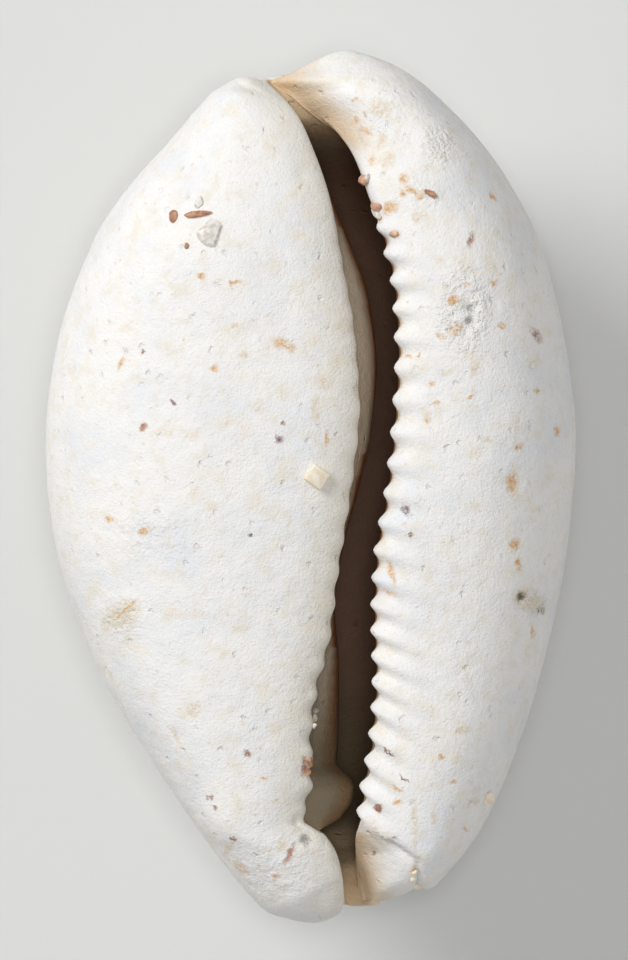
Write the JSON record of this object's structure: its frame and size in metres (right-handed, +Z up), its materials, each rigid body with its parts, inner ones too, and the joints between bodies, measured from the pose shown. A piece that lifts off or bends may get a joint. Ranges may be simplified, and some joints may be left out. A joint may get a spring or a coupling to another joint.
{
  "type": "cowrie shell",
  "caption": "Empty, bleached cowrie shell: an egg-shaped coiled shell with a long toothed slit between two rolled lips and a canal notch at each end.",
  "frame": {"origin": "centre of the bottom of the bounding box, on the surface that the shell lies on", "axes": "+Y along the shell from its front (siphonal) end to its rear (spire) end, +X to the side of the toothed outer lip, +Z up, out of the slit"},
  "size_m": [0.0365, 0.0601, 0.0284],
  "materials": {
    "shell": "chalky bleached aragonite, matt, with cream and orange-brown stains and small pits, brown inside"
  },
  "bodies": {
    "root": {"shell": "shell"}
  },
  "joints": []
}
